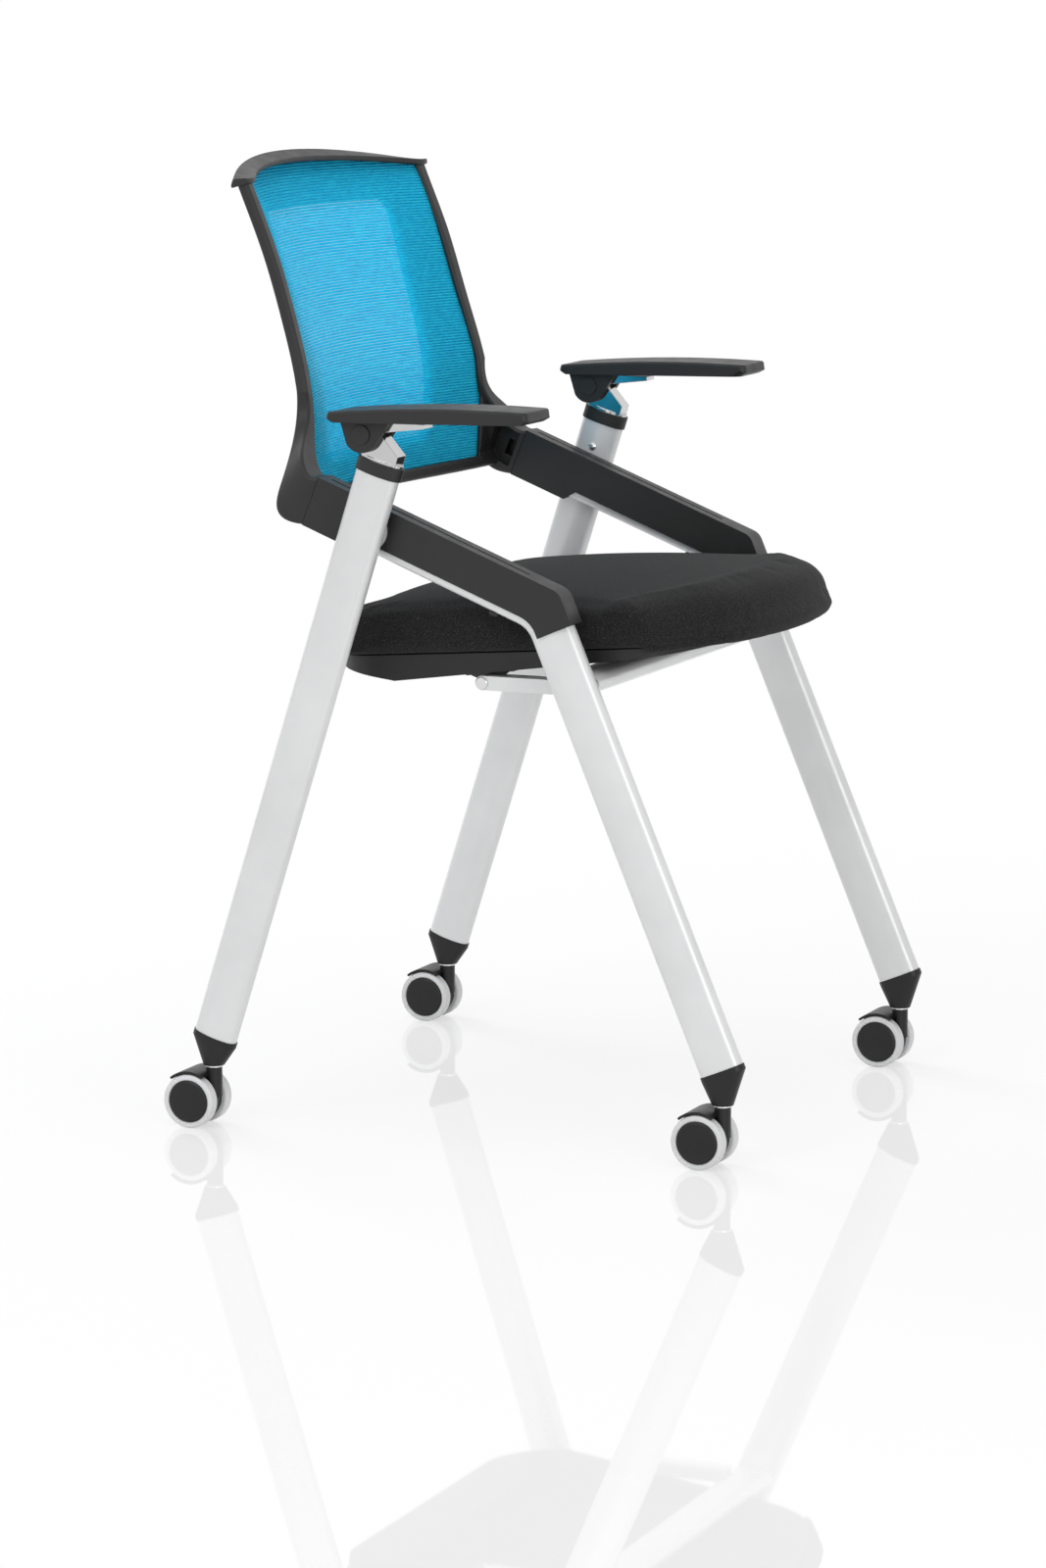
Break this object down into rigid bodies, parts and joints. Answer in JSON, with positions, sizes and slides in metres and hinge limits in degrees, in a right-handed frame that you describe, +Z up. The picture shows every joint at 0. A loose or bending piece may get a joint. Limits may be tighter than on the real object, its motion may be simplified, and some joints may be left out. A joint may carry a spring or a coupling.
{
  "type": "flip-seat nesting chair",
  "caption": "Nesting chair on castors: silver oval-tube frame, tip-up upholstered seat, blue mesh back in a black frame and flip-up arm pads.",
  "frame": {"origin": "on the floor under the middle of the chair", "axes": "+Z up, -Y towards the front of the chair, -X to the right of a person sitting in it"},
  "size_m": [0.5896, 0.5657, 0.8814],
  "materials": {
    "silver_paint": "satin light silver paint",
    "black_paint": "satin black paint",
    "black_plastic": "fine-textured moulded plastic",
    "arm_plastic": "fine-textured moulded plastic",
    "black_nylon": "satin moulded nylon",
    "black_rubber": "matt",
    "grey_tread": "matt light grey",
    "bright_steel": "zinc bright",
    "chrome": "polished",
    "blue_mesh": "stretched open knit",
    "black_fabric": "plain woven upholstery"
  },
  "bodies": {
    "frame": {"arm_bracket_screws": "bright_steel", "arm_collars": "black_nylon", "arm_hinge_pins": "bright_steel", "back_frame": "black_plastic", "back_frame_screws": "bright_steel", "back_mesh": "blue_mesh", "castor_stems": "bright_steel", "front_left_leg_cap": "black_nylon", "front_right_leg_cap": "black_nylon", "left_arm_bracket": "chrome", "left_front_frame_tube": "silver_paint", "left_rail_cover": "black_plastic", "left_rear_leg": "silver_paint", "left_seat_bar": "silver_paint", "leg_bosses": "silver_paint", "rail_end_inserts": "black_nylon", "rail_stops": "black_rubber", "rear_left_leg_cap": "black_nylon", "rear_right_leg_cap": "black_nylon", "right_arm_bracket": "chrome", "right_front_frame_tube": "silver_paint", "right_rail_cover": "black_plastic", "right_rear_leg": "silver_paint", "right_seat_bar": "silver_paint", "seat_cross_beam": "silver_paint", "seat_hinge_pins": "bright_steel", "seat_rests": "black_rubber"},
    "seat": {"seat_pan": "black_plastic", "seat_cushion": "black_fabric", "right_seat_hinge_bracket": "black_paint", "left_seat_hinge_bracket": "black_paint", "seat_bracket_screws": "bright_steel"},
    "right_arm": {"right_arm_pad": "arm_plastic", "right_arm_pivot_caps": "arm_plastic"},
    "left_arm": {"left_arm_pad": "arm_plastic", "left_arm_pivot_caps": "arm_plastic"},
    "front_right_castor": {"front_right_castor_fork": "black_nylon", "front_right_castor_axle": "bright_steel"},
    "front_right_outer_wheel": {"front_right_outer_hub": "black_nylon", "front_right_outer_tread": "grey_tread"},
    "front_right_inner_wheel": {"front_right_inner_hub": "black_nylon", "front_right_inner_tread": "grey_tread"},
    "front_left_castor": {"front_left_castor_fork": "black_nylon", "front_left_castor_axle": "bright_steel"},
    "front_left_outer_wheel": {"front_left_outer_hub": "black_nylon", "front_left_outer_tread": "grey_tread"},
    "front_left_inner_wheel": {"front_left_inner_hub": "black_nylon", "front_left_inner_tread": "grey_tread"},
    "rear_right_castor": {"rear_right_castor_fork": "black_nylon", "rear_right_castor_axle": "bright_steel"},
    "rear_right_outer_wheel": {"rear_right_outer_hub": "black_nylon", "rear_right_outer_tread": "grey_tread"},
    "rear_right_inner_wheel": {"rear_right_inner_hub": "black_nylon", "rear_right_inner_tread": "grey_tread"},
    "rear_left_castor": {"rear_left_castor_fork": "black_nylon", "rear_left_castor_axle": "bright_steel"},
    "rear_left_outer_wheel": {"rear_left_outer_hub": "black_nylon", "rear_left_outer_tread": "grey_tread"},
    "rear_left_inner_wheel": {"rear_left_inner_hub": "black_nylon", "rear_left_inner_tread": "grey_tread"}
  },
  "joints": [
    {"name": "seat_flip", "type": "hinge", "parent": "frame", "child": "seat", "pos_m": [0, -0.0152, 0.418], "axis": [-1, 0, 0], "range_deg": [0, 80]},
    {"name": "right_arm_flip", "type": "hinge", "parent": "frame", "child": "right_arm", "pos_m": [-0.2625, 0.0704, 0.64546], "axis": [-1, 0, 0], "range_deg": [0, 75]},
    {"name": "left_arm_flip", "type": "hinge", "parent": "frame", "child": "left_arm", "pos_m": [0.2625, 0.0704, 0.64546], "axis": [-1, 0, 0], "range_deg": [0, 75]},
    {"name": "front_right_swivel", "type": "hinge", "parent": "frame", "child": "front_right_castor", "pos_m": [-0.236, -0.2618, 0.045], "axis": [0, 0, 1], "continuous": true},
    {"name": "front_right_outer_roll", "type": "hinge", "parent": "front_right_castor", "child": "front_right_outer_wheel", "pos_m": [-0.251, -0.2448, 0.025], "axis": [1, 0, 0], "continuous": true},
    {"name": "front_right_inner_roll", "type": "hinge", "parent": "front_right_castor", "child": "front_right_inner_wheel", "pos_m": [-0.221, -0.2448, 0.025], "axis": [1, 0, 0], "continuous": true},
    {"name": "front_left_swivel", "type": "hinge", "parent": "frame", "child": "front_left_castor", "pos_m": [0.236, -0.2618, 0.045], "axis": [0, 0, 1], "continuous": true},
    {"name": "front_left_outer_roll", "type": "hinge", "parent": "front_left_castor", "child": "front_left_outer_wheel", "pos_m": [0.251, -0.2448, 0.025], "axis": [1, 0, 0], "continuous": true},
    {"name": "front_left_inner_roll", "type": "hinge", "parent": "front_left_castor", "child": "front_left_inner_wheel", "pos_m": [0.221, -0.2448, 0.025], "axis": [1, 0, 0], "continuous": true},
    {"name": "rear_right_swivel", "type": "hinge", "parent": "frame", "child": "rear_right_castor", "pos_m": [-0.2625, 0.2293, 0.045], "axis": [0, 0, 1], "continuous": true},
    {"name": "rear_right_outer_roll", "type": "hinge", "parent": "rear_right_castor", "child": "rear_right_outer_wheel", "pos_m": [-0.2775, 0.2463, 0.025], "axis": [1, 0, 0], "continuous": true},
    {"name": "rear_right_inner_roll", "type": "hinge", "parent": "rear_right_castor", "child": "rear_right_inner_wheel", "pos_m": [-0.2475, 0.2463, 0.025], "axis": [1, 0, 0], "continuous": true},
    {"name": "rear_left_swivel", "type": "hinge", "parent": "frame", "child": "rear_left_castor", "pos_m": [0.2625, 0.2293, 0.045], "axis": [0, 0, 1], "continuous": true},
    {"name": "rear_left_outer_roll", "type": "hinge", "parent": "rear_left_castor", "child": "rear_left_outer_wheel", "pos_m": [0.2775, 0.2463, 0.025], "axis": [1, 0, 0], "continuous": true},
    {"name": "rear_left_inner_roll", "type": "hinge", "parent": "rear_left_castor", "child": "rear_left_inner_wheel", "pos_m": [0.2475, 0.2463, 0.025], "axis": [1, 0, 0], "continuous": true}
  ]
}
